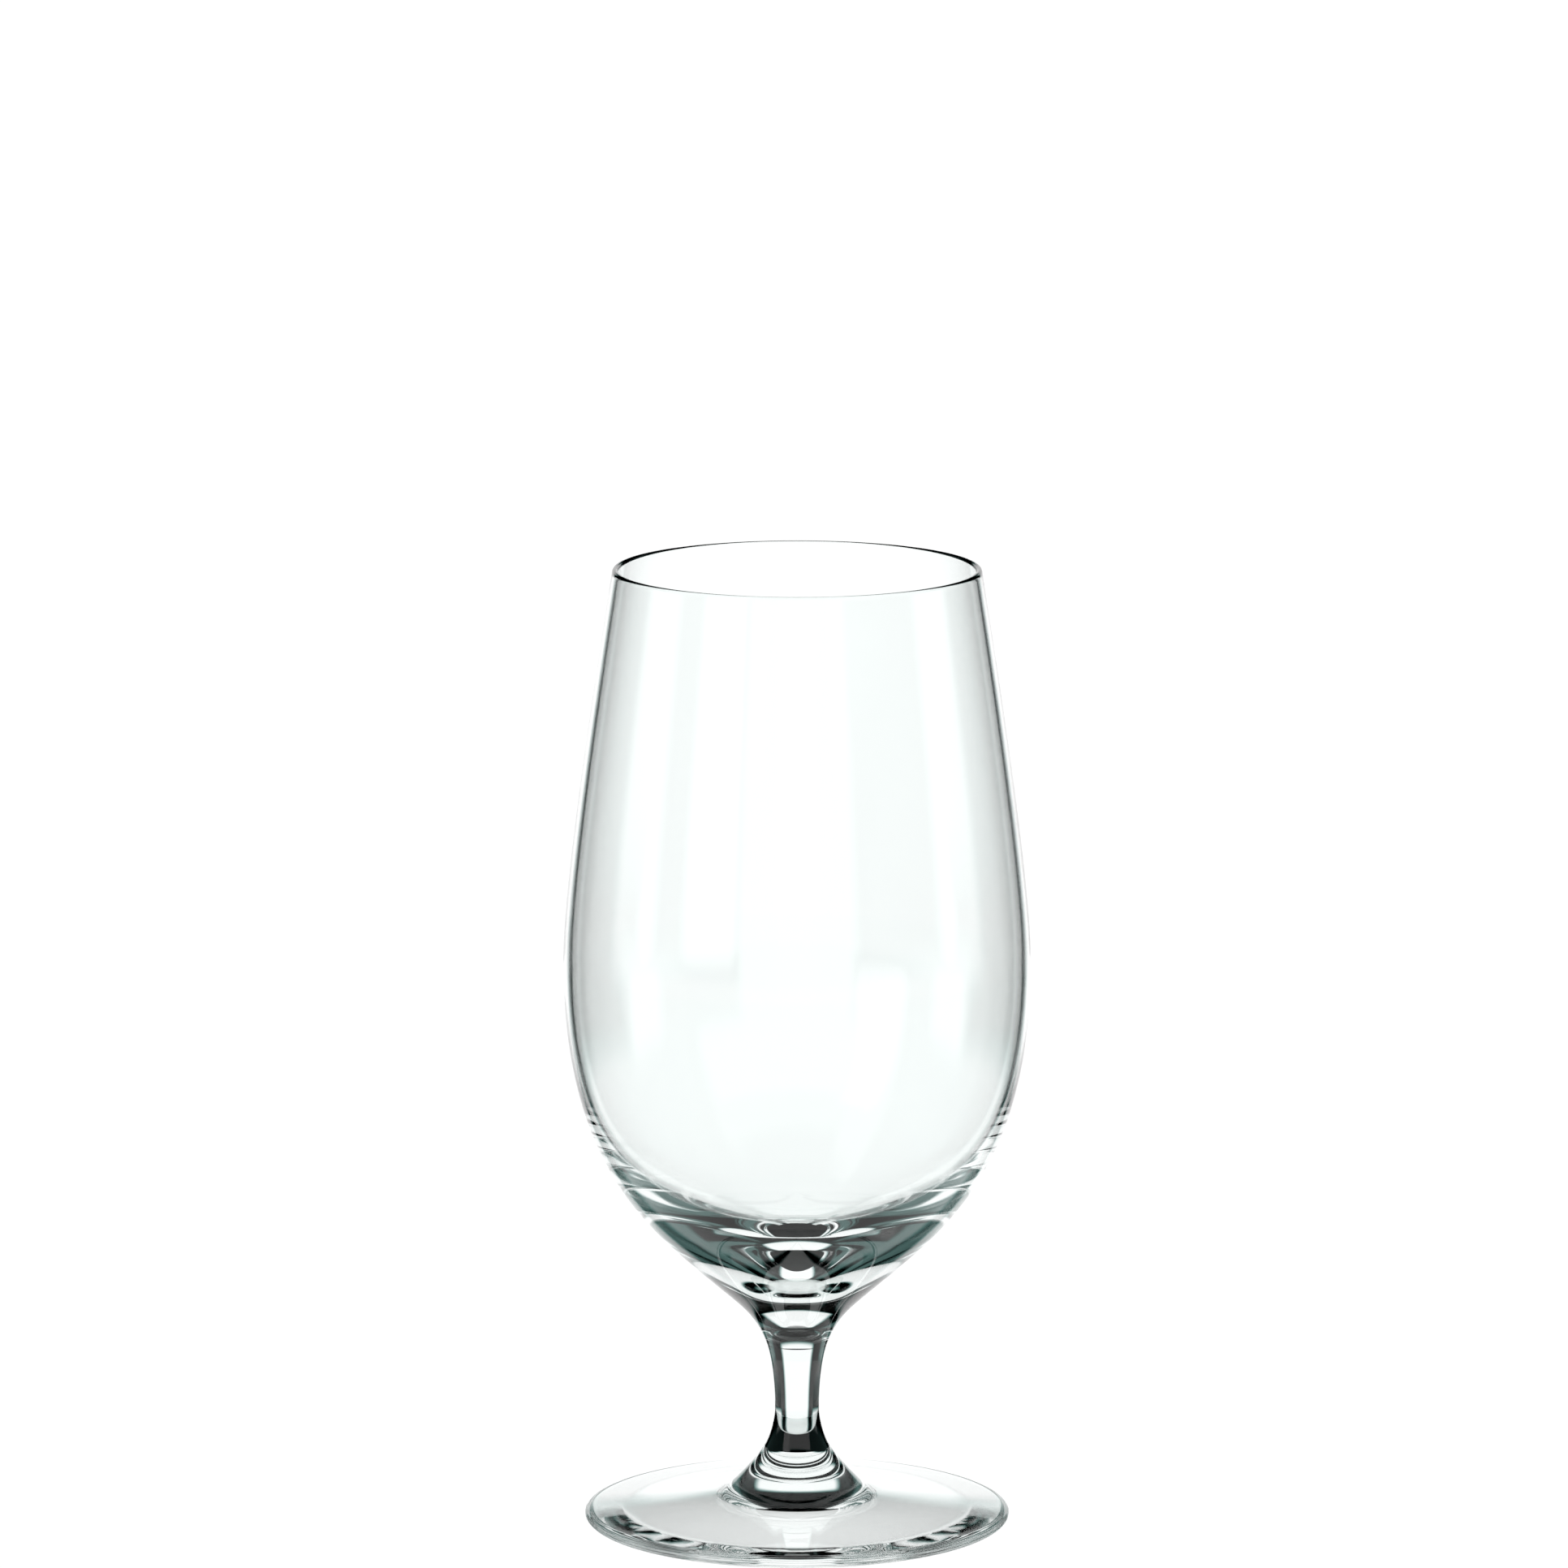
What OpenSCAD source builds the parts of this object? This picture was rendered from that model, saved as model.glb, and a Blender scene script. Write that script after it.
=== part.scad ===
// Clear tulip beer glass on a short stem.
// A blown bowl, a drawn stem and a pressed foot, joined hot at two flat welds.
// Millimetres. The foot stands on Z = 0 and the glass turns about Z.

/* [Glass] */
// Height from the table to the top of the rim
glass_h = 166; // [152:0.5:182]

/* [Bowl] */
// Outer diameter at the rim
rim_d = 63; // [56:0.5:70]
// Wall at the rim, which is melted round
rim_wall = 1.1; // [0.8:0.1:1.8]
// Lean of the wall at the rim, in degrees from upright
rim_lean = 8.3; // [4:0.1:13]
// Length over which the rim's lean holds
rim_pull = 8; // [3:0.5:20]
// Outer diameter at the belly, the widest line
belly_d = 80; // [74:0.5:88]
// Height of the belly above the table
belly_z = 98; // [90:0.5:106]
// Wall at the belly
belly_wall = 1.4; // [0.9:0.1:1.8]
// Fullness of the bowl above the belly
belly_pull_up = 15.5; // [8:0.5:26]
// Fullness of the bowl below the belly
belly_pull_down = 34.5; // [26:0.5:42]
// Outer diameter where the round bowl turns into its throat
throat_d = 30; // [26:0.5:34]
// Height of that turn above the bowl's weld
throat_h = 11.6; // [10:0.1:14]
// Lean of the outside at the throat, in degrees from upright
throat_lean = 48.7; // [44:0.1:54]
// Fullness of the outside above the throat
throat_pull_up = 15.3; // [10:0.1:20]
// Fullness of the outside below the throat
throat_pull_down = 7.1; // [5:0.1:9]
// Wall at the heel, where the thick base begins
heel_wall = 5.9; // [1.4:0.1:7]
// Place of the heel on the lower side, from 0 at the throat to 1 at the belly
heel_at = 0.22; // [0.18:0.01:0.5]
// Roundness of the inside below the heel
heel_pull = 16; // [4:0.5:18]
// Glass under the middle of the bowl, above the weld
base_t = 13.1; // [11:0.1:21]
// Width of the dip in the middle of the bowl's inside bottom
floor_pull = 8.2; // [6:0.1:14]

/* [Stem] */
// Height of the stem from weld to weld
stem_h = 18; // [15:0.5:24]
// Diameter of the weld under the bowl
neck_d = 10.4; // [9.4:0.1:12]
// Lean of the outside at that weld, in degrees from upright
neck_lean = 19.2; // [12:0.1:26]
// Run of that lean up into the bowl
neck_pull_up = 5.5; // [3:0.1:7]
// Run of that lean down into the stem
neck_pull_down = 3.8; // [2:0.1:5]
// Diameter of the stem at its waist
waist_d = 7.6; // [6.8:0.1:8.6]
// Height of the waist above the foot's weld
waist_h = 6.4; // [5:0.1:8.5]
// Upright run above the waist
waist_pull_up = 2.2; // [1:0.1:5]
// Upright run below the waist
waist_pull_down = 1.2; // [0.8:0.1:2.5]
// Diameter of the weld on the foot
ankle_d = 11.2; // [10:0.1:13]
// Lean of the outside at that weld, in degrees from upright
ankle_lean = 32; // [24:0.1:40]
// Run of that lean up into the stem
ankle_pull_up = 2.1; // [1:0.1:3.2]
// Run of that lean down into the foot
ankle_pull_down = 3; // [1.5:0.1:4.5]

/* [Foot] */
// Diameter of the foot
foot_d = 73.2; // [66:0.2:80]
// Height of the foot up to its weld
foot_h = 13; // [11:0.5:16]
// Diameter at which the flare meets the plate
flare_d = 28; // [24:0.5:36]
// Height of the plate's top at the flare
flare_h = 4.6; // [3.8:0.1:6]
// Run of the plate's slope into the flare
flare_pull = 2; // [1:0.1:5]
// Thickness of the plate at its edge
edge_t = 2.3; // [1.8:0.1:3.2]
// Height of the edge's outermost line
edge_z = 1.3; // [0.9:0.1:1.6]
// Width of the rounding under the edge
edge_run = 2; // [1:0.1:3]
// Width of the rounding over the edge
edge_top_run = 1.4; // [0.8:0.1:2.5]
// Inner diameter of the ring that the glass rests on
rest_d = 60; // [50:0.5:64]
// Rise of the hollow under the foot
hollow_h = 2.4; // [0.8:0.1:3]
// Width of the hollow's flat middle
hollow_pull = 12; // [6:0.5:16]
// Run of the hollow into the resting ring
hollow_edge_pull = 3; // [1:0.5:8]

/* [Hidden] */
glass_tone = [0.80, 0.88, 0.87, 0.45];

// Heights of the two welds and of the bowl's inside bottom
foot_weld_z = foot_h;
bowl_weld_z = foot_h + stem_h;
floor_z = bowl_weld_z + base_t;

// Steps along a curve, round a small edge and round the axis
curve_n = 14;
edge_n = 6;
turn_n = 128;

// Direction in the profile plane, leaning out by an angle from upright
function lean(a) = [sin(a), cos(a)];
function unit(v) = v / norm(v);

// Point and slope of a curve that is given by two ends and two pulls
function curve(p, t) =
    pow(1 - t, 3) * p[0] + 3 * pow(1 - t, 2) * t * p[1] + 3 * (1 - t) * t * t * p[2] + pow(t, 3) * p[3];
function slope(p, t) =
    3 * pow(1 - t, 2) * (p[1] - p[0]) + 6 * (1 - t) * t * (p[2] - p[1]) + 3 * t * t * (p[3] - p[2]);

// The same point moved in towards the axis, square to the curve, by a wall
function moved_in(p, t, wall) =
    let (s = unit(slope(p, t)))
    curve(p, t) + wall * [-s[1], s[0]];

// Points along a curve after its first one
function along(p, n) = [for (i = [1:n]) curve(p, i / n)];

// Points of an oval quarter from angle a to angle b, after the first one
function oval(c, rx, rz, a, b, n) =
    [for (i = [1:n]) let (q = a + (b - a) * i / n) c + [rx * cos(q), rz * sin(q)]];

// Outside of the bowl, from its weld up to the rim
neck_p = [neck_d / 2, bowl_weld_z];
throat_p = [throat_d / 2, bowl_weld_z + throat_h];
belly_p = [belly_d / 2, belly_z];
rim_c = [rim_d / 2 - rim_wall / 2, glass_h - rim_wall / 2];
rim_out = [cos(rim_lean), sin(rim_lean)];
rim_p = rim_c + rim_wall / 2 * rim_out;
throat_curve = [
    neck_p,
    neck_p + neck_pull_up * lean(neck_lean),
    throat_p - throat_pull_down * lean(throat_lean),
    throat_p
];
lower_curve = [
    throat_p,
    throat_p + throat_pull_up * lean(throat_lean),
    belly_p - [0, belly_pull_down],
    belly_p
];
upper_curve = [
    belly_p,
    belly_p + [0, belly_pull_up],
    rim_p - rim_pull * lean(-rim_lean),
    rim_p
];

// Inside of the bowl: the outside moved in by a wall that thickens towards the heel, then the base
function upper_wall(t) = belly_wall + (rim_wall - belly_wall) * t;
function heel_t(u) = 1 + (heel_at - 1) * u;
function heel_side(u) = moved_in(lower_curve, heel_t(u), belly_wall + (heel_wall - belly_wall) * pow(u, 3));
heel_p = heel_side(1);
heel_dir = unit(heel_p - heel_side(1 - 1 / curve_n / curve_n));
floor_curve = [
    heel_p,
    heel_p + heel_pull * heel_dir,
    [floor_pull, floor_z],
    [0, floor_z]
];

// Outside of the stem, from the foot's weld up to the bowl's
ankle_p = [ankle_d / 2, foot_weld_z];
waist_p = [waist_d / 2, foot_weld_z + waist_h];
ankle_curve = [
    ankle_p,
    ankle_p + ankle_pull_up * lean(-ankle_lean),
    waist_p - [0, waist_pull_down],
    waist_p
];
waist_curve = [
    waist_p,
    waist_p + [0, waist_pull_up],
    neck_p - neck_pull_down * lean(neck_lean),
    neck_p
];

// Foot: hollow underside, resting ring, round edge, sloping plate and flare.
// The rounding under the edge takes at most half of the land outside the hollow.
foot_r = foot_d / 2;
edge_in = min(edge_run, (foot_r - rest_d / 2) / 2);
hollow_curve = [
    [0, hollow_h],
    [hollow_pull, hollow_h],
    [rest_d / 2 - hollow_edge_pull, 0],
    [rest_d / 2, 0]
];
plate_p = [foot_r - edge_top_run, edge_t];
flare_p = [flare_d / 2, flare_h];
flare_curve = [
    flare_p,
    flare_p + flare_pull * unit(flare_p - plate_p),
    ankle_p - ankle_pull_down * lean(-ankle_lean),
    ankle_p
];

// Blown bowl: thin tulip wall, melted rim and a thick base down to the weld
module bowl() {
    color(glass_tone)
    rotate_extrude($fn = turn_n)
    polygon(concat(
        [[0, bowl_weld_z], neck_p],
        along(throat_curve, curve_n),
        along(lower_curve, curve_n + edge_n),
        along(upper_curve, curve_n),
        oval(rim_c, rim_wall / 2, rim_wall / 2, rim_lean, rim_lean + 180, edge_n),
        [for (i = [1:curve_n]) let (t = 1 - i / curve_n) moved_in(upper_curve, t, upper_wall(t))],
        [for (i = [1:curve_n]) heel_side(i / curve_n)],
        along(floor_curve, curve_n)
    ));
}

// Drawn stem: solid, waisted, flat at both welds
module stem() {
    color(glass_tone)
    rotate_extrude($fn = turn_n)
    polygon(concat(
        [[0, foot_weld_z], ankle_p],
        along(ankle_curve, curve_n),
        along(waist_curve, curve_n),
        [[0, bowl_weld_z]]
    ));
}

// Pressed foot: round plate with a hollow underside, rising in a flare to the stem
module foot() {
    color(glass_tone)
    rotate_extrude($fn = turn_n)
    polygon(concat(
        [[0, hollow_h]],
        along(hollow_curve, curve_n),
        [[foot_r - edge_in, 0]],
        oval([foot_r - edge_in, edge_z], edge_in, edge_z, -90, 0, edge_n),
        oval([foot_r - edge_top_run, edge_z], edge_top_run, edge_t - edge_z, 0, 90, edge_n),
        [flare_p],
        along(flare_curve, curve_n),
        [[0, foot_weld_z]]
    ));
}

bowl();
stem();
foot();
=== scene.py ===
"""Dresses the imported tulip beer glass: three welded glass pieces, a pale floor, studio light and a camera."""
import logging
import math
from dataclasses import dataclass, field
from enum import Enum

import bpy
import numpy as np
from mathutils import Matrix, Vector


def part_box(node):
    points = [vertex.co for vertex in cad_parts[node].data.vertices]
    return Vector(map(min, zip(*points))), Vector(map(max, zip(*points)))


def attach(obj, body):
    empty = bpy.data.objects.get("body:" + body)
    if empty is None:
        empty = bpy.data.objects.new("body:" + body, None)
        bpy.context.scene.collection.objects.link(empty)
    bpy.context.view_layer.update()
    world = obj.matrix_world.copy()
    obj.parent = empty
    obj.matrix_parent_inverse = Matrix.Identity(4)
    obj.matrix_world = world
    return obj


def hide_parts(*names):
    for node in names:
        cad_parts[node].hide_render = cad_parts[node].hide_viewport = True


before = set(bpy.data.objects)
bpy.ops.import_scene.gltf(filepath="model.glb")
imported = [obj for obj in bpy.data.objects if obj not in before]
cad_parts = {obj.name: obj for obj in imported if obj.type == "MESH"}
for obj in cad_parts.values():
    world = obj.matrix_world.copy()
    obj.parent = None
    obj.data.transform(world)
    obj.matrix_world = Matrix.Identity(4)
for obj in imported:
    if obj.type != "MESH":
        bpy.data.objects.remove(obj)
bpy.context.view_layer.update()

LOG = logging.getLogger("tulip_glass")
MM = 0.001
TURN_STEPS = 256
WELD_POINTS = 6
MAP_MARGIN = 0.01
# Ends of a panel that runs past straight down, or all the way round to the front
PAST_DOWN = -95.0
PAST_FRONT = 190.0


class Face(Enum):
    """The two kinds of glass face on a piece, by material slot."""

    SKIN = 0
    WELD = 1


def lean(degrees: float) -> np.ndarray:
    """Direction in the profile plane that leans out from upright.

    Args:
        degrees: Angle from upright, positive away from the axis.

    Returns:
        A unit vector of radius and height.
    """
    angle = math.radians(degrees)
    return np.array((math.sin(angle), math.cos(angle)))


def unit(vectors: np.ndarray) -> np.ndarray:
    """Vectors of one row or many brought to length one.

    Args:
        vectors: Array whose last axis holds the parts of each vector.

    Returns:
        An array of the same shape.
    """
    return vectors / np.linalg.norm(vectors, axis=-1, keepdims=True)


@dataclass(frozen=True)
class Pull:
    """A smooth stretch of profile between two ends, each drawn out by a pull point.

    The point at t is the cubic blend of the four points with weights
    (1-t)^3, 3(1-t)^2 t, 3(1-t) t^2 and t^3.
    """

    points: np.ndarray

    def at(self, t: np.ndarray) -> np.ndarray:
        """Points of the stretch.

        Args:
            t: Places along the stretch, from 0 to 1.

        Returns:
            One row of radius and height for each place.
        """
        s = np.asarray(t, float)[:, None]
        p = self.points
        return (1 - s) ** 3 * p[0] + 3 * (1 - s) ** 2 * s * p[1] + 3 * (1 - s) * s ** 2 * p[2] + s ** 3 * p[3]

    def heading(self, t: np.ndarray) -> np.ndarray:
        """Unit directions of travel, from the first derivative of the blend.

        Args:
            t: Places along the stretch, from 0 to 1.

        Returns:
            One unit row of radius and height for each place.
        """
        s = np.asarray(t, float)[:, None]
        d = np.diff(self.points, axis=0)
        return unit((1 - s) ** 2 * d[0] + 2 * (1 - s) * s * d[1] + s ** 2 * d[2])

    def moved_in(self, t: np.ndarray, wall: np.ndarray) -> np.ndarray:
        """Points moved square to the stretch towards the axis, by a wall.

        Args:
            t: Places along the stretch, from 0 to 1.
            wall: Glass thickness at each place.

        Returns:
            One row of radius and height for each place.
        """
        h = self.heading(t)
        return self.at(t) + np.asarray(wall, float)[:, None] * np.stack([-h[:, 1], h[:, 0]], -1)


@dataclass
class Lathe:
    """A closed surface of revolution: a half profile carried round the upright axis.

    The point at place s and angle a is (r(s) cos a, r(s) sin a, z(s)). The first and the last point of the
    profile lie on the axis and become single pole vertices, so the skin has no seam and no hole.
    """

    name: str
    profile: list[np.ndarray] = field(default_factory=list)
    wear: list[np.ndarray] = field(default_factory=list)
    depth: list[np.ndarray] = field(default_factory=list)
    kinds: list[np.ndarray] = field(default_factory=list)

    def add(self, points: np.ndarray, kind: Face, wear: float = 0.0, depth: float = 0.0) -> None:
        """Adds a stretch that starts where the last one ended.

        Args:
            points: Rows of radius and height, the first one shared with the last stretch.
            kind: The kind of face that the stretch makes.
            wear: How worn the stretch is, from 0 to 1.
            depth: How thick the glass behind it is, from 0 for a thin wall to 1 for a solid.
        """
        kept = points[1:] if self.profile else points
        self.profile.append(kept)
        self.wear.append(np.full(len(kept), wear))
        self.depth.append(np.full(len(kept), depth))
        self.kinds.append(np.full(len(points) - 1, kind.value))

    def mesh(self) -> bpy.types.Mesh:
        """Works the whole surface out as arrays and puts it into a mesh.

        Rings of vertices stand at each inner profile point. Quads join neighbouring rings, triangles close
        the two poles, and each corner's normal is the profile's own normal turned by the corner's angle.

        Returns:
            The finished mesh, with a map, attributes and normals.
        """
        p = np.vstack(self.profile)
        kinds = np.concatenate(self.kinds)
        n = len(p)
        angle = np.arange(TURN_STEPS) * (2 * math.pi / TURN_STEPS)
        circle = np.stack([np.cos(angle), np.sin(angle)], -1)
        rings = np.empty((n - 2, TURN_STEPS, 3))
        rings[:, :, :2] = p[1:-1, 0, None, None] * circle
        rings[:, :, 2] = p[1:-1, 1, None]
        poles = np.array([(0, 0, p[0, 1]), (0, 0, p[-1, 1])])
        verts = np.concatenate([rings.reshape(-1, 3), poles])
        first_pole, last_pole = len(verts) - 2, len(verts) - 1

        here = np.arange(TURN_STEPS)
        after = (here + 1) % TURN_STEPS
        base = np.arange(n - 3)[:, None] * TURN_STEPS
        quads = np.stack([base + here, base + after, base + TURN_STEPS + after, base + TURN_STEPS + here], -1)
        top = (n - 3) * TURN_STEPS
        start_fan = np.stack([np.full(TURN_STEPS, first_pole), after, here], -1)
        end_fan = np.stack([top + here, top + after, np.full(TURN_STEPS, last_pole)], -1)

        loops = np.concatenate([start_fan.ravel(), quads.ravel(), end_fan.ravel()])
        sizes = np.concatenate([np.full(TURN_STEPS, 3), np.full(quads.size // 4, 4), np.full(TURN_STEPS, 3)])
        starts = np.concatenate([[0], np.cumsum(sizes)[:-1]])
        slots = np.repeat(kinds, TURN_STEPS)

        mesh = bpy.data.meshes.new(self.name)
        mesh.vertices.add(len(verts))
        mesh.vertices.foreach_set("co", verts.ravel())
        mesh.loops.add(len(loops))
        mesh.loops.foreach_set("vertex_index", loops.astype(np.int32))
        mesh.polygons.add(len(sizes))
        mesh.polygons.foreach_set("loop_start", starts.astype(np.int32))
        mesh.polygons.foreach_set("material_index", slots.astype(np.int32))
        mesh.polygons.foreach_set("use_smooth", np.ones(len(sizes), bool))
        mesh.update()
        self._map(mesh, p, here)
        self._attributes(mesh, n)
        mesh.normals_split_custom_set(self._corner_normals(p, kinds, angle))
        return mesh

    def _corner_normals(self, p: np.ndarray, kinds: np.ndarray, angle: np.ndarray) -> np.ndarray:
        """Normals of all face corners, in the order of the loops.

        Inside one kind of face a ring's normal is square to the mean of the two steps that meet there. Where
        the kind changes, as at a weld's sharp edge, each side keeps its own step's normal. At a pole the normal
        stands upright.

        Args:
            p: Profile points.
            kinds: Kind of face on each step of the profile.
            angle: Angles of the ring's vertices.

        Returns:
            One row of three numbers for each corner.
        """
        step = unit(np.diff(p, axis=0))
        flat = np.stack([step[:, 1], -step[:, 0]], -1)
        joined = np.concatenate([[False], kinds[1:] == kinds[:-1], [False]])
        before = np.vstack([flat[:1], flat])
        behind = np.vstack([flat, flat[-1:]])
        blend = unit(before + behind)
        low = np.where(joined[:-1, None], blend[:-1], behind[:-1])
        high = np.where(joined[1:, None], blend[1:], before[1:])
        upright = np.array((0.0, 1.0))
        low[0] = upright * np.sign(flat[0, 1])
        high[-1] = upright * np.sign(flat[-1, 1])

        def turned(normal: np.ndarray, offset: int) -> np.ndarray:
            """Profile normals turned to each angle, moved on by an offset of ring steps."""
            a = np.roll(angle, -offset)
            rows = np.empty((len(normal), len(a), 3))
            rows[:, :, 0] = normal[:, 0, None] * np.cos(a)
            rows[:, :, 1] = normal[:, 0, None] * np.sin(a)
            rows[:, :, 2] = normal[:, 1, None]
            return rows

        start = np.stack([turned(low[:1], 0), turned(high[:1], 1), turned(high[:1], 0)], 2)
        corners = ((low[1:-1], 0), (low[1:-1], 1), (high[1:-1], 1), (high[1:-1], 0))
        middle = np.stack([turned(normal, offset) for normal, offset in corners], 2)
        end = np.stack([turned(low[-1:], 0), turned(low[-1:], 1), turned(high[-1:], 0)], 2)
        return np.concatenate([part.reshape(-1, 3) for part in (start, middle, end)])

    def _map(self, mesh: bpy.types.Mesh, p: np.ndarray, here: np.ndarray) -> None:
        """Lays a flat map on the skin: turn along u, distance along the profile along v.

        Args:
            mesh: The mesh to map.
            p: Profile points.
            here: Numbers of the ring's vertices.
        """
        run = np.concatenate([[0], np.cumsum(np.linalg.norm(np.diff(p, axis=0), axis=1))])
        v = MAP_MARGIN + (1 - 2 * MAP_MARGIN) * run / run[-1]
        u0, u1 = here / TURN_STEPS, (here + 1) / TURN_STEPS
        middle = (u0 + u1) / 2

        def corner(u: np.ndarray, height: np.ndarray) -> np.ndarray:
            """Map corners for each step of the profile at the given turns."""
            grid = np.empty((len(height), len(u), 2))
            grid[:, :, 0] = u
            grid[:, :, 1] = height[:, None]
            return grid

        start = np.stack([corner(middle, v[:1]), corner(u1, v[1:2]), corner(u0, v[1:2])], 2)
        body = np.stack([corner(u0, v[1:-2]), corner(u1, v[1:-2]), corner(u1, v[2:-1]), corner(u0, v[2:-1])], 2)
        end = np.stack([corner(u0, v[-2:-1]), corner(u1, v[-2:-1]), corner(middle, v[-1:])], 2)
        layer = mesh.uv_layers.new(name="turn_and_run")
        layer.data.foreach_set("uv", np.concatenate([part.reshape(-1) for part in (start, body, end)]))

    def _attributes(self, mesh: bpy.types.Mesh, n: int) -> None:
        """Stores wear and depth on the vertices, for the finishes to read.

        Args:
            mesh: The mesh that takes the attributes.
            n: Number of profile points.
        """
        for name, parts in (("wear", self.wear), ("depth", self.depth)):
            values = np.concatenate(parts)
            spread = np.concatenate([np.repeat(values[1:-1], TURN_STEPS), values[[0, n - 1]]])
            mesh.attributes.new(name, "FLOAT", "POINT").data.foreach_set("value", spread)


class Nodes:
    """Short hands for a shader's node tree."""

    def __init__(self, tree: bpy.types.NodeTree) -> None:
        """Takes an empty tree.

        Args:
            tree: The tree to fill; what it held is removed.
        """
        self.tree = tree
        tree.nodes.clear()

    def new(self, kind: str, **settings: object) -> bpy.types.Node:
        """Adds a node.

        Args:
            kind: Blender's name for the node.
            settings: Properties to set on it.

        Returns:
            The new node.
        """
        made = self.tree.nodes.new(kind)
        for key, value in settings.items():
            setattr(made, key, value)
        return made

    def link(self, source: bpy.types.NodeSocket, target: bpy.types.NodeSocket) -> None:
        """Links an output to an input."""
        self.tree.links.new(source, target)

    def math(self, operation: str, *values: object) -> bpy.types.NodeSocket:
        """Adds a Math node.

        Args:
            operation: The operation's name.
            values: Numbers, or outputs to link.

        Returns:
            The node's output.
        """
        made = self.new("ShaderNodeMath", operation=operation)
        for socket, value in zip(made.inputs, values):
            if isinstance(value, (int, float)):
                socket.default_value = value
            else:
                self.link(value, socket)
        return made.outputs[0]

    def ramp(self, value: bpy.types.NodeSocket, low: float, high: float, out_low: float = 0.0,
             out_high: float = 1.0) -> bpy.types.NodeSocket:
        """Adds a smooth step from one level to another.

        Args:
            value: The output to read.
            low: Where the step begins.
            high: Where it ends.
            out_low: Level before the step.
            out_high: Level after it.

        Returns:
            The stepped output.
        """
        made = self.new("ShaderNodeMapRange", interpolation_type="SMOOTHSTEP")
        self.link(value, made.inputs["Value"])
        for key, number in (("From Min", low), ("From Max", high), ("To Min", out_low), ("To Max", out_high)):
            made.inputs[key].default_value = number
        return made.outputs[0]

    def noise(self, place: bpy.types.NodeSocket, scale: float, detail: float) -> bpy.types.NodeSocket:
        """Adds a noise pattern.

        Args:
            place: Coordinates that the pattern follows.
            scale: Number of blots to one unit of the coordinates.
            detail: Levels of finer noise on top.

        Returns:
            The pattern's level, from 0 to 1.
        """
        made = self.new("ShaderNodeTexNoise")
        self.link(place, made.inputs["Vector"])
        made.inputs["Scale"].default_value = scale
        made.inputs["Detail"].default_value = detail
        return made.outputs["Fac"]

    def bump(self, level: bpy.types.NodeSocket, height: float,
             under: bpy.types.NodeSocket | None = None) -> bpy.types.NodeSocket:
        """Adds a bump.

        Args:
            level: The pattern that raises the skin.
            height: How far it raises it, in metres.
            under: Normal of a bump that this one lies on.

        Returns:
            The bumped normal.
        """
        made = self.new("ShaderNodeBump")
        self.link(level, made.inputs["Height"])
        made.inputs["Distance"].default_value = height
        if under is not None:
            self.link(under, made.inputs["Normal"])
        return made.outputs["Normal"]


def see_through(name: str, refraction: float) -> tuple[bpy.types.Material, Nodes, bpy.types.Node]:
    """Starts a material that light goes through.

    Args:
        name: The material's name.
        refraction: How strongly it bends light; 1 leaves light straight.

    Returns:
        The material, its node tree and its shader node.
    """
    made = bpy.data.materials.new(name)
    made.use_nodes = True
    n = Nodes(made.node_tree)
    out = n.new("ShaderNodeOutputMaterial")
    glass = n.new("ShaderNodeBsdfPrincipled")
    glass.inputs["Transmission Weight"].default_value = 1.0
    glass.inputs["IOR"].default_value = refraction
    n.link(glass.outputs["BSDF"], out.inputs["Surface"])
    return made, n, glass


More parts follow.
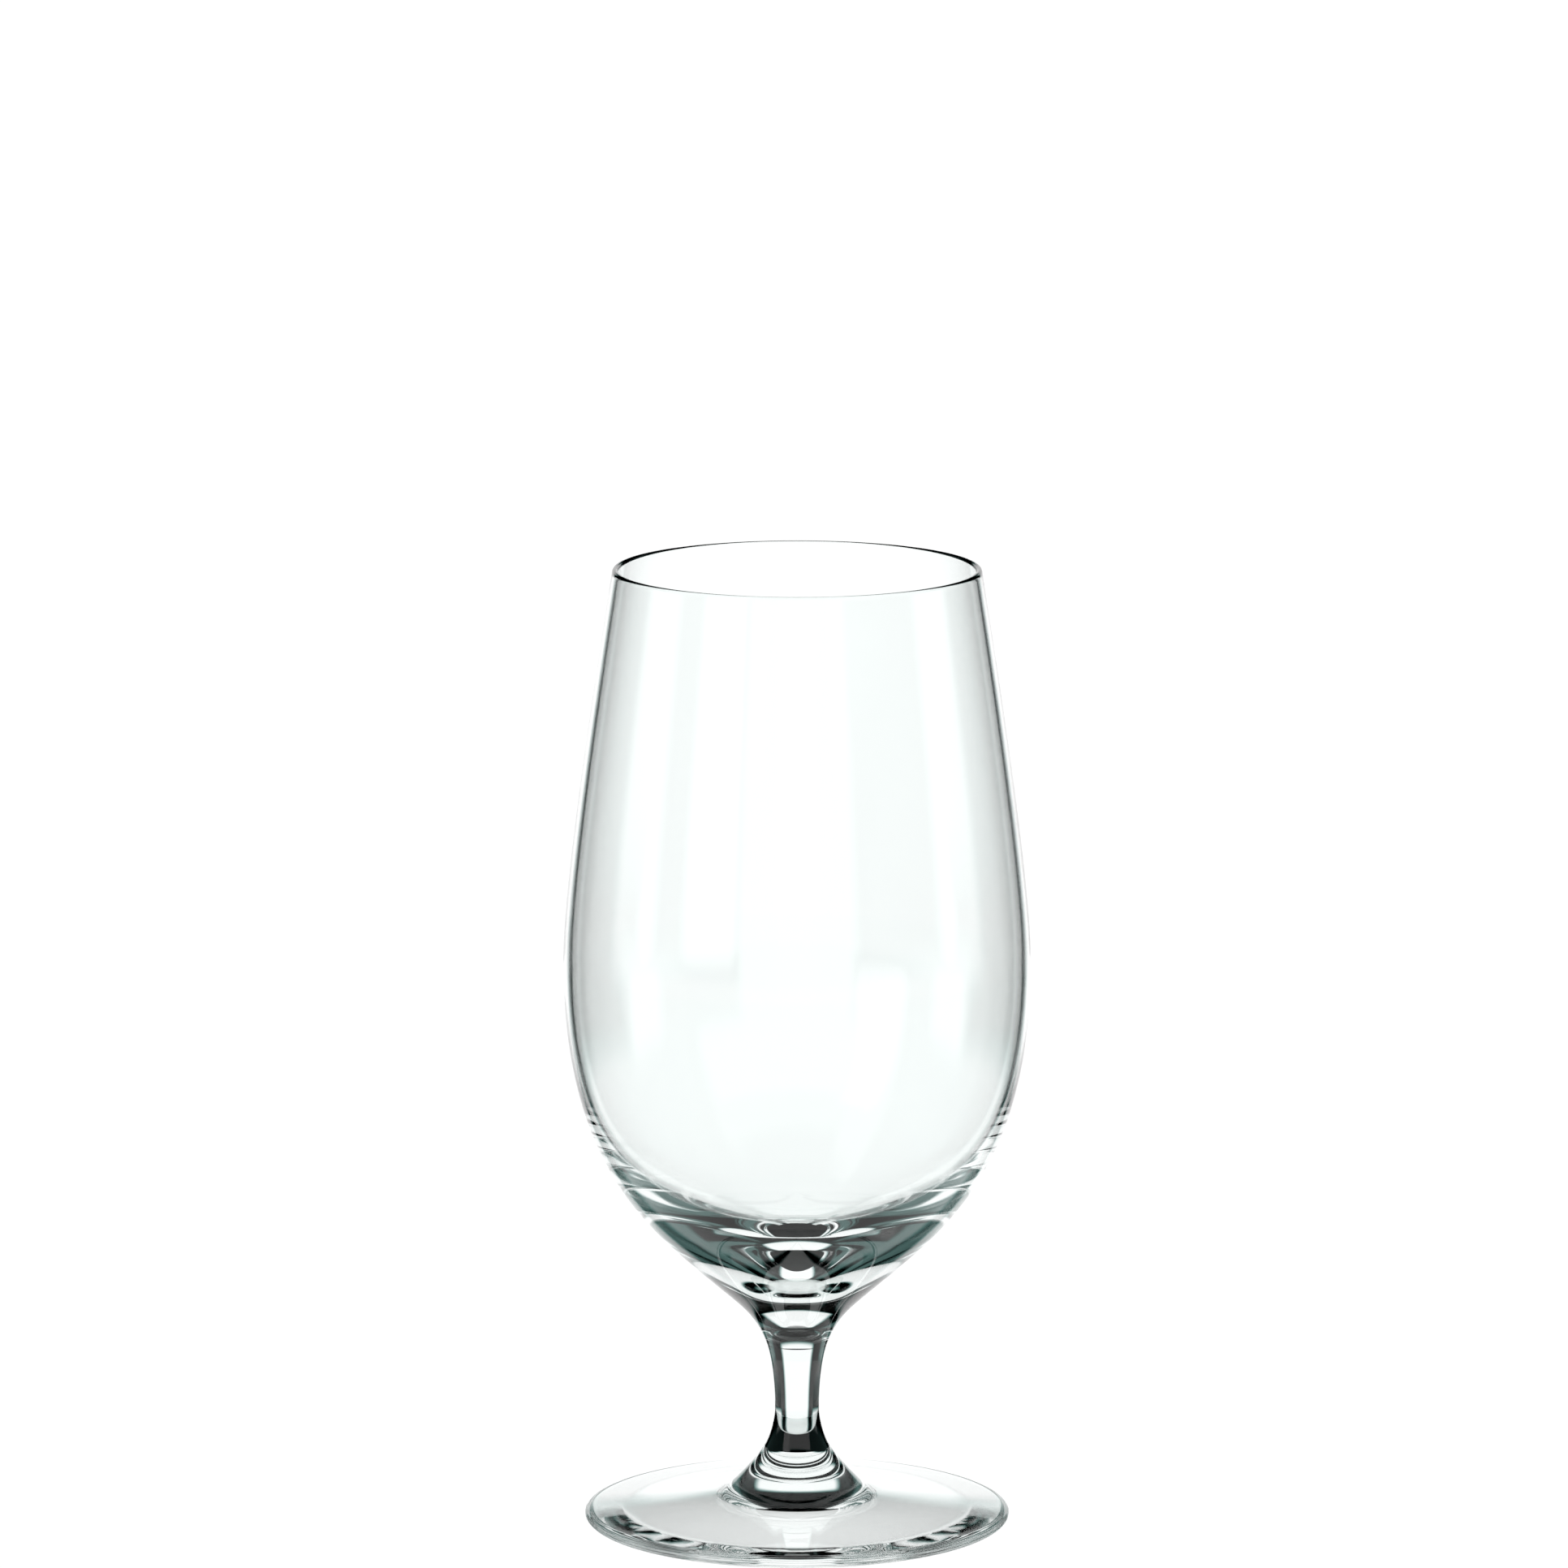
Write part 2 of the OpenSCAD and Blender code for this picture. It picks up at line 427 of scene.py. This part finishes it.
@dataclass(frozen=True)
class GlassFinish:
    """Clear fire-polished glass: faint waves from the blowing or the mould, a green cast where thick, and wear.

    The wave size is the length of a slow wave along X, Y and Z. The edges of specks and smears are the noise
    levels between which they come in.
    """

    name: str
    wave_size: tuple[float, float, float]
    wave_height: float
    ripple_size: float
    ripple_height: float
    worn_roughness: float
    thin_tint: tuple[float, float, float] = (0.972, 0.992, 0.987)
    thick_tint: tuple[float, float, float] = (0.93, 0.97, 0.96)
    refraction: float = 1.5
    wave_detail: float = 1.0
    ripple_detail: float = 2.0
    speck_scale: float = 900.0
    speck_detail: float = 4.0
    speck_edges: tuple[float, float] = (0.42, 0.62)
    smear_scale: float = 38.0
    smear_detail: float = 3.0
    smear_edges: tuple[float, float] = (0.55, 0.8)
    smear_roughness: float = 0.012

    def material(self) -> bpy.types.Material:
        """Builds the finish.

        Returns:
            A new material.
        """
        made, n, glass = see_through(self.name, self.refraction)
        place = n.new("ShaderNodeTexCoord").outputs["Object"]
        self._cast(n, glass)
        self._wear(n, glass, place)
        self._waves(n, glass, place)
        return made

    def _cast(self, n: Nodes, glass: bpy.types.Node) -> None:
        """Tints the glass from the thin tint to the thick one by the depth attribute.

        Args:
            n: The tree.
            glass: The shader node.
        """
        depth = n.new("ShaderNodeAttribute", attribute_name="depth").outputs["Fac"]
        mix = n.new("ShaderNodeMix", data_type="RGBA")
        n.link(depth, mix.inputs["Factor"])
        mix.inputs[6].default_value = (*self.thin_tint, 1.0)
        mix.inputs[7].default_value = (*self.thick_tint, 1.0)
        n.link(mix.outputs[2], glass.inputs["Base Color"])

    def _wear(self, n: Nodes, glass: bpy.types.Node, place: bpy.types.NodeSocket) -> None:
        """Dulls worn places with fine specks and leaves the rest polished, with a trace of wiping marks.

        Args:
            n: The tree.
            glass: The shader node.
            place: Object coordinates.
        """
        worn = n.new("ShaderNodeAttribute", attribute_name="wear").outputs["Fac"]
        speck = n.noise(place, self.speck_scale, self.speck_detail)
        scuffed = n.math("MULTIPLY", n.ramp(speck, *self.speck_edges), worn)
        smear = n.noise(place, self.smear_scale, self.smear_detail)
        wiped = n.ramp(smear, *self.smear_edges, 0.0, self.smear_roughness)
        n.link(n.math("MULTIPLY_ADD", scuffed, self.worn_roughness, wiped), glass.inputs["Roughness"])

    def _waves(self, n: Nodes, glass: bpy.types.Node, place: bpy.types.NodeSocket) -> None:
        """Gives the skin slow waves and a finer ripple, so that reflections wander a little.

        Args:
            n: The tree.
            glass: The shader node.
            place: Object coordinates.
        """
        stretch = n.new("ShaderNodeMapping")
        n.link(place, stretch.inputs["Vector"])
        stretch.inputs["Scale"].default_value = tuple(1.0 / size for size in self.wave_size)
        wave = n.noise(stretch.outputs["Vector"], 1.0, self.wave_detail)
        ripple = n.noise(place, 1.0 / self.ripple_size, self.ripple_detail)
        slow = n.bump(wave, self.wave_height)
        n.link(n.bump(ripple, self.ripple_height, slow), glass.inputs["Normal"])


@dataclass(frozen=True)
class WeldFinish:
    """The melted face inside a hot weld, where glass meets glass: light goes straight through it."""

    name: str = "melted_weld"
    refraction: float = 1.0

    def material(self) -> bpy.types.Material:
        """Builds the finish.

        Returns:
            A new material.
        """
        made, _, glass = see_through(self.name, self.refraction)
        glass.inputs["Base Color"].default_value = (1.0, 1.0, 1.0, 1.0)
        glass.inputs["Roughness"].default_value = 0.0
        return made


@dataclass
class Welds:
    """Heights, radii and leans that the pieces share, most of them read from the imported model."""

    neck_radius: float = 5.2 * MM
    neck_lean: float = 19.2
    ankle_lean: float = 32.0

    def __post_init__(self) -> None:
        """Reads the boxes of the three pieces."""
        bowl_low, bowl_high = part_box("bowl")
        stem_low, stem_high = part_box("stem")
        foot_low, foot_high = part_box("foot")
        self.foot_z = float(stem_low.z)
        self.bowl_z = float(stem_high.z)
        self.rim_z = float(bowl_high.z)
        self.belly_radius = float(bowl_high.x - bowl_low.x) / 2
        self.ankle_radius = float(stem_high.x - stem_low.x) / 2
        self.foot_radius = float(foot_high.x - foot_low.x) / 2


def places(count: int) -> np.ndarray:
    """Even places from 0 to 1, both ends among them."""
    return np.linspace(0.0, 1.0, count + 1)


@dataclass
class Piece:
    """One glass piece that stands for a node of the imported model."""

    welds: Welds
    node: str = ""

    def lathe(self) -> Lathe:
        """The piece's surface, given by each kind of piece."""
        raise NotImplementedError

    def build(self, skin: bpy.types.Material, weld: bpy.types.Material) -> bpy.types.Object:
        """Makes the piece, dresses it and ties it to the frame.

        Args:
            skin: Finish of the outer faces.
            weld: Finish of the welded faces.

        Returns:
            The finished object.
        """
        mesh = self.lathe().mesh()
        mesh.materials.append(skin)
        mesh.materials.append(weld)
        obj = bpy.data.objects.new(f"glass_{self.node}", mesh)
        bpy.context.scene.collection.objects.link(obj)
        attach(obj, "root")
        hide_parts(self.node)
        LOG.info("%s: %d faces", obj.name, len(mesh.polygons))
        return obj


@dataclass
class Bowl(Piece):
    """The blown tulip bowl: thin wall, melted rim, thick base and throat down to its weld."""

    node: str = "bowl"
    rim_radius: float = 31.5 * MM
    rim_wall: float = 1.1 * MM
    rim_lean: float = 8.3
    rim_pull: float = 8.0 * MM
    belly_z: float = 98.0 * MM
    belly_wall: float = 1.4 * MM
    belly_pull_up: float = 15.5 * MM
    belly_pull_down: float = 34.5 * MM
    throat_radius: float = 15.0 * MM
    throat_rise: float = 11.6 * MM
    throat_lean: float = 48.7
    throat_pull_up: float = 15.3 * MM
    throat_pull_down: float = 7.1 * MM
    neck_pull_up: float = 5.5 * MM
    heel_wall: float = 5.9 * MM
    heel_at: float = 0.22
    heel_pull: float = 16.0 * MM
    base_thickness: float = 13.1 * MM
    floor_pull: float = 8.2 * MM
    throat_rows: int = 28
    lower_rows: int = 70
    upper_rows: int = 54
    bead_rows: int = 18
    heel_rows: int = 60
    bottom_rows: int = 44

    def lathe(self) -> Lathe:
        """The bowl's profile: weld, throat, lower side, upper side, rim, then the inside down to the bottom.

        The inside is the outside moved in by a wall that grows with the cube of the way to the heel. Below it
        one smooth stretch closes the rounded bottom over the thick base.

        Returns:
            The surface.
        """
        w = self.welds
        neck = np.array((w.neck_radius, w.bowl_z))
        throat = np.array((self.throat_radius, w.bowl_z + self.throat_rise))
        belly = np.array((w.belly_radius, self.belly_z))
        rim_middle = np.array((self.rim_radius - self.rim_wall / 2, w.rim_z - self.rim_wall / 2))
        turn = math.radians(self.rim_lean)
        rim = rim_middle + self.rim_wall / 2 * np.array((math.cos(turn), math.sin(turn)))
        under = Pull(np.array((neck, neck + self.neck_pull_up * lean(w.neck_lean),
                               throat - self.throat_pull_down * lean(self.throat_lean), throat)))
        lower = Pull(np.array((throat, throat + self.throat_pull_up * lean(self.throat_lean),
                               belly - (0, self.belly_pull_down), belly)))
        upper = Pull(np.array((belly, belly + (0, self.belly_pull_up),
                               rim - self.rim_pull * lean(-self.rim_lean), rim)))
        bead = turn + math.pi * places(self.bead_rows)
        bead_points = rim_middle + self.rim_wall / 2 * np.stack([np.cos(bead), np.sin(bead)], -1)
        up = places(self.upper_rows)[::-1]
        inside_upper = upper.moved_in(up, self.belly_wall + (self.rim_wall - self.belly_wall) * up)
        down = places(self.heel_rows)
        inside_lower = lower.moved_in(1 + (self.heel_at - 1) * down,
                                      self.belly_wall + (self.heel_wall - self.belly_wall) * down ** 3)
        heel = inside_lower[-1]
        floor = np.array((0.0, w.bowl_z + self.base_thickness))
        bottom = Pull(np.array((heel, heel + self.heel_pull * unit(heel - inside_lower[-2]),
                                floor + (self.floor_pull, 0), floor)))

        made = Lathe("glass_bowl")
        made.add(np.linspace((0.0, w.bowl_z), neck, WELD_POINTS), Face.WELD, depth=1.0)
        made.add(under.at(places(self.throat_rows)), Face.SKIN, depth=1.0)
        made.add(lower.at(places(self.lower_rows)), Face.SKIN, depth=0.35)
        made.add(upper.at(places(self.upper_rows)), Face.SKIN, depth=0.0)
        made.add(bead_points, Face.SKIN, wear=0.15, depth=0.3)
        made.add(inside_upper, Face.SKIN, depth=0.0)
        made.add(inside_lower, Face.SKIN, depth=0.1)
        made.add(bottom.at(places(self.bottom_rows)), Face.SKIN, depth=0.5)
        return made


@dataclass
class Stem(Piece):
    """The drawn stem: solid and waisted between its two welds."""

    node: str = "stem"
    neck_pull_down: float = 3.8 * MM
    waist_radius: float = 3.8 * MM
    waist_rise: float = 6.4 * MM
    waist_pull_up: float = 2.2 * MM
    waist_pull_down: float = 1.2 * MM
    ankle_pull_up: float = 2.1 * MM
    ankle_rows: int = 40
    neck_rows: int = 50

    def lathe(self) -> Lathe:
        """The stem's profile: lower weld, ankle to waist, waist to neck, upper weld.

        Returns:
            The surface.
        """
        w = self.welds
        ankle = np.array((w.ankle_radius, w.foot_z))
        waist = np.array((self.waist_radius, w.foot_z + self.waist_rise))
        neck = np.array((w.neck_radius, w.bowl_z))
        low = Pull(np.array((ankle, ankle + self.ankle_pull_up * lean(-w.ankle_lean),
                             waist - (0, self.waist_pull_down), waist)))
        high = Pull(np.array((waist, waist + (0, self.waist_pull_up),
                              neck - self.neck_pull_down * lean(w.neck_lean), neck)))
        made = Lathe("glass_stem")
        made.add(np.linspace((0.0, w.foot_z), ankle, WELD_POINTS), Face.WELD, depth=1.0)
        made.add(low.at(places(self.ankle_rows)), Face.SKIN, depth=1.0)
        made.add(high.at(places(self.neck_rows)), Face.SKIN, depth=1.0)
        made.add(np.linspace(neck, (0.0, w.bowl_z), WELD_POINTS), Face.WELD, depth=1.0)
        return made


@dataclass
class Foot(Piece):
    """The pressed foot: hollow underside, resting ring, round edge, sloping plate and flare."""

    node: str = "foot"
    flare_radius: float = 14.0 * MM
    flare_z: float = 4.6 * MM
    flare_pull: float = 2.0 * MM
    ankle_pull_down: float = 3.0 * MM
    edge_thickness: float = 2.3 * MM
    edge_z: float = 1.3 * MM
    edge_run: float = 2.0 * MM
    edge_top_run: float = 1.4 * MM
    rest_radius: float = 30.0 * MM
    hollow_rise: float = 2.4 * MM
    hollow_pull: float = 12.0 * MM
    hollow_edge_pull: float = 3.0 * MM
    hollow_rows: int = 50
    ring_points: int = 6
    edge_rows: int = 16
    plate_points: int = 24
    flare_rows: int = 56

    def lathe(self) -> Lathe:
        """The foot's profile: hollow, ring, two oval quarters round the edge, plate, flare and weld.

        Returns:
            The surface.
        """
        w = self.welds
        ankle = np.array((w.ankle_radius, w.foot_z))
        hollow = Pull(np.array(((0.0, self.hollow_rise), (self.hollow_pull, self.hollow_rise),
                                (self.rest_radius - self.hollow_edge_pull, 0.0), (self.rest_radius, 0.0))))
        ring_end = np.array((w.foot_radius - self.edge_run, 0.0))
        low = math.pi / 2 * (places(self.edge_rows) - 1)
        under_edge = np.stack([w.foot_radius - self.edge_run + self.edge_run * np.cos(low),
                               self.edge_z + self.edge_z * np.sin(low)], -1)
        high = math.pi / 2 * places(self.edge_rows)
        over_edge = np.stack([w.foot_radius - self.edge_top_run + self.edge_top_run * np.cos(high),
                              self.edge_z + (self.edge_thickness - self.edge_z) * np.sin(high)], -1)
        plate = over_edge[-1]
        flare_start = np.array((self.flare_radius, self.flare_z))
        flare = Pull(np.array((flare_start, flare_start + self.flare_pull * unit(flare_start - plate),
                               ankle - self.ankle_pull_down * lean(-w.ankle_lean), ankle)))
        made = Lathe("glass_foot")
        made.add(hollow.at(places(self.hollow_rows)), Face.SKIN, depth=0.6)
        made.add(np.linspace(hollow.points[-1], ring_end, self.ring_points), Face.SKIN, wear=1.0, depth=0.6)
        made.add(under_edge, Face.SKIN, wear=0.25, depth=0.8)
        made.add(over_edge, Face.SKIN, wear=0.05, depth=0.8)
        made.add(np.linspace(plate, flare_start, self.plate_points), Face.SKIN, depth=0.6)
        made.add(flare.at(places(self.flare_rows)), Face.SKIN, depth=1.0)
        made.add(np.linspace(ankle, (0.0, w.foot_z), WELD_POINTS), Face.WELD, depth=1.0)
        return made


@dataclass(frozen=True)
class Panel:
    """A soft-edged patch of studio light, seen from the glass, in degrees.

    Bearing is the angle from straight behind the glass towards +X, and height is the angle above the table. A
    panel on both sides is mirrored, with its bearing counted away from straight behind.
    """

    level: float
    bearing: tuple[float, float]
    height: tuple[float, float]
    soft: float
    both_sides: bool = True


@dataclass
class Studio:
    """White studio: a pale floor that only the camera sees, and light panels round the glass.

    The fade gives, for red, green and blue, the power by which dim light loses that colour, so that it turns
    grey-green.
    """

    floor_half: float = 6.0
    floor_drop: float = 0.2 * MM
    ground_level: float = 1.05
    panels: tuple[Panel, ...] = (
        # Sweep behind the glass
        Panel(1.08, (-22.0, 22.0), (PAST_DOWN, 13.0), 6.0),
        # Table round the glass, higher towards the front
        Panel(1.0, (36.0, PAST_FRONT), (PAST_DOWN, -18.0), 8.0),
        Panel(1.05, (88.0, PAST_FRONT), (PAST_DOWN, -5.0), 6.0),
        # Windows at the sides
        Panel(1.05, (76.0, 104.0), (-9.0, 7.0), 9.0),
        # Dim walls
        Panel(0.15, (42.0, PAST_FRONT), (3.0, 40.0), 8.0),
        # Front wall, its lower part, and a stronger soft light at the front left
        Panel(0.95, (124.0, PAST_FRONT), (8.0, 40.0), 8.0),
        Panel(0.9, (150.0, PAST_FRONT), (-12.0, 14.0), 8.0),
        Panel(1.3, (-149.0, -121.0), (-5.0, 45.0), 8.0, both_sides=False),
    )
    fade: tuple[float, float, float] = (0.32, 0.0, 0.03)
    most_turns: int = 32

    def build(self) -> None:
        """Makes the floor and the light, and sets how often light may turn."""
        self._floor()
        self._light()
        self._turns()

    def _floor(self) -> None:
        """Lays a plain pale floor just under the foot, for the camera alone."""
        corners = np.array(((-1, -1, 0), (1, -1, 0), (1, 1, 0), (-1, 1, 0))) * self.floor_half
        corners[:, 2] = -self.floor_drop
        mesh = bpy.data.meshes.new("floor")
        mesh.from_pydata(corners.tolist(), [], [(0, 1, 2, 3)])
        paint = bpy.data.materials.new("pale_floor")
        paint.use_nodes = True
        n = Nodes(paint.node_tree)
        out = n.new("ShaderNodeOutputMaterial")
        glow = n.new("ShaderNodeEmission")
        glow.inputs["Color"].default_value = (1.0, 1.0, 1.0, 1.0)
        glow.inputs["Strength"].default_value = self.ground_level
        n.link(glow.outputs["Emission"], out.inputs["Surface"])
        mesh.materials.append(paint)
        floor = bpy.data.objects.new("floor", mesh)
        bpy.context.scene.collection.objects.link(floor)
        floor.visible_transmission = False
        floor.visible_glossy = False
        floor.visible_diffuse = False
        floor.visible_shadow = False

    def _light(self) -> None:
        """Lights each direction by its brightest panel, in the world's shader; the camera itself sees white."""
        world = bpy.data.worlds.new("studio")
        bpy.context.scene.world = world
        world.use_nodes = True
        n = Nodes(world.node_tree)
        out = n.new("ShaderNodeOutputWorld")
        back = n.new("ShaderNodeBackground")
        way = n.new("ShaderNodeSeparateXYZ")
        n.link(n.new("ShaderNodeTexCoord").outputs["Generated"], way.inputs["Vector"])
        bearing = n.math("DEGREES", n.math("ARCTAN2", way.outputs["X"], way.outputs["Y"]))
        height = n.math("DEGREES", n.math("ARCSINE", way.outputs["Z"]))
        total = None
        for panel in self.panels:
            level = self._patch(n, panel, bearing, height)
            total = level if total is None else n.math("MAXIMUM", total, level)
        ground = n.math("MULTIPLY", n.new("ShaderNodeLightPath").outputs["Is Camera Ray"], self.ground_level)
        level = n.math("MAXIMUM", total, ground)
        dim = n.math("MINIMUM", level, 1.0)
        colour = n.new("ShaderNodeCombineColor")
        for channel, power in zip(("Red", "Green", "Blue"), self.fade):
            n.link(n.math("MULTIPLY", level, n.math("POWER", dim, power)), colour.inputs[channel])
        n.link(colour.outputs["Color"], back.inputs["Color"])
        n.link(back.outputs["Background"], out.inputs["Surface"])

    def _turns(self) -> None:
        """Lets a ray turn often enough inside the thick glass to find its way out."""
        cycles = bpy.context.scene.cycles
        cycles.max_bounces = self.most_turns
        cycles.glossy_bounces = self.most_turns
        cycles.transmission_bounces = self.most_turns

    def _patch(self, n: Nodes, panel: Panel, bearing: bpy.types.NodeSocket,
               height: bpy.types.NodeSocket) -> bpy.types.NodeSocket:
        """One panel's light: its level inside the patch, falling to none across the soft edge.

        Args:
            n: The tree.
            panel: The panel.
            bearing: Bearing of the direction looked in.
            height: Its height.

        Returns:
            The panel's level in that direction.
        """
        turn = n.math("ABSOLUTE", bearing) if panel.both_sides else bearing
        half = panel.soft / 2
        level = None
        for value, (low, high) in ((turn, panel.bearing), (height, panel.height)):
            rise = n.ramp(value, low - half, low + half)
            fall = n.ramp(value, high - half, high + half, 1.0, 0.0)
            both = n.math("MULTIPLY", rise, fall)
            level = both if level is None else n.math("MULTIPLY", level, both)
        return n.math("MULTIPLY", level, panel.level)


@dataclass(frozen=True)
class PhotoCamera:
    """Camera at the photograph's viewing angle: a long lens, a little above the glass."""

    eye: tuple[float, float, float] = (-0.00224, -1.8149, 0.4513)
    aim: tuple[float, float, float] = (-0.00224, 0.0, 0.12876)
    lens_mm: float = 248.1
    sensor_mm: float = 36.0
    near: float = 0.05
    far: float = 40.0

    def build(self) -> None:
        """Makes the camera and gives it to the scene."""
        data = bpy.data.cameras.new("photo_camera")
        data.sensor_width = self.sensor_mm
        data.lens = self.lens_mm
        data.clip_start = self.near
        data.clip_end = self.far
        camera = bpy.data.objects.new("photo_camera", data)
        camera.location = self.eye
        camera.rotation_euler = (Vector(self.aim) - Vector(self.eye)).to_track_quat("-Z", "Y").to_euler()
        bpy.context.scene.collection.objects.link(camera)
        bpy.context.scene.camera = camera


BLOWN_GLASS = GlassFinish("blown_glass", wave_size=(22 * MM, 22 * MM, 70 * MM), wave_height=0.03 * MM,
                          ripple_size=9 * MM, ripple_height=0.004 * MM, worn_roughness=0.03)
DRAWN_GLASS = GlassFinish("drawn_glass", wave_size=(9 * MM, 9 * MM, 40 * MM), wave_height=0.01 * MM,
                          ripple_size=4 * MM, ripple_height=0.002 * MM, worn_roughness=0.03)
PRESSED_GLASS = GlassFinish("pressed_glass", wave_size=(16 * MM, 16 * MM, 16 * MM), wave_height=0.04 * MM,
                            ripple_size=6 * MM, ripple_height=0.006 * MM, worn_roughness=0.06)


def main() -> None:
    """Builds the glass, the studio and the camera, in that order."""
    logging.basicConfig(level=logging.INFO, format="%(message)s")
    welds = Welds()
    melted = WeldFinish().material()
    for piece, finish in ((Bowl(welds), BLOWN_GLASS), (Stem(welds), DRAWN_GLASS), (Foot(welds), PRESSED_GLASS)):
        piece.build(finish.material(), melted)
    Studio().build()
    PhotoCamera().build()
    bpy.context.scene.view_settings.view_transform = "Standard"
    LOG.info("studio and camera are set")


if __name__ == "__main__":
    main()
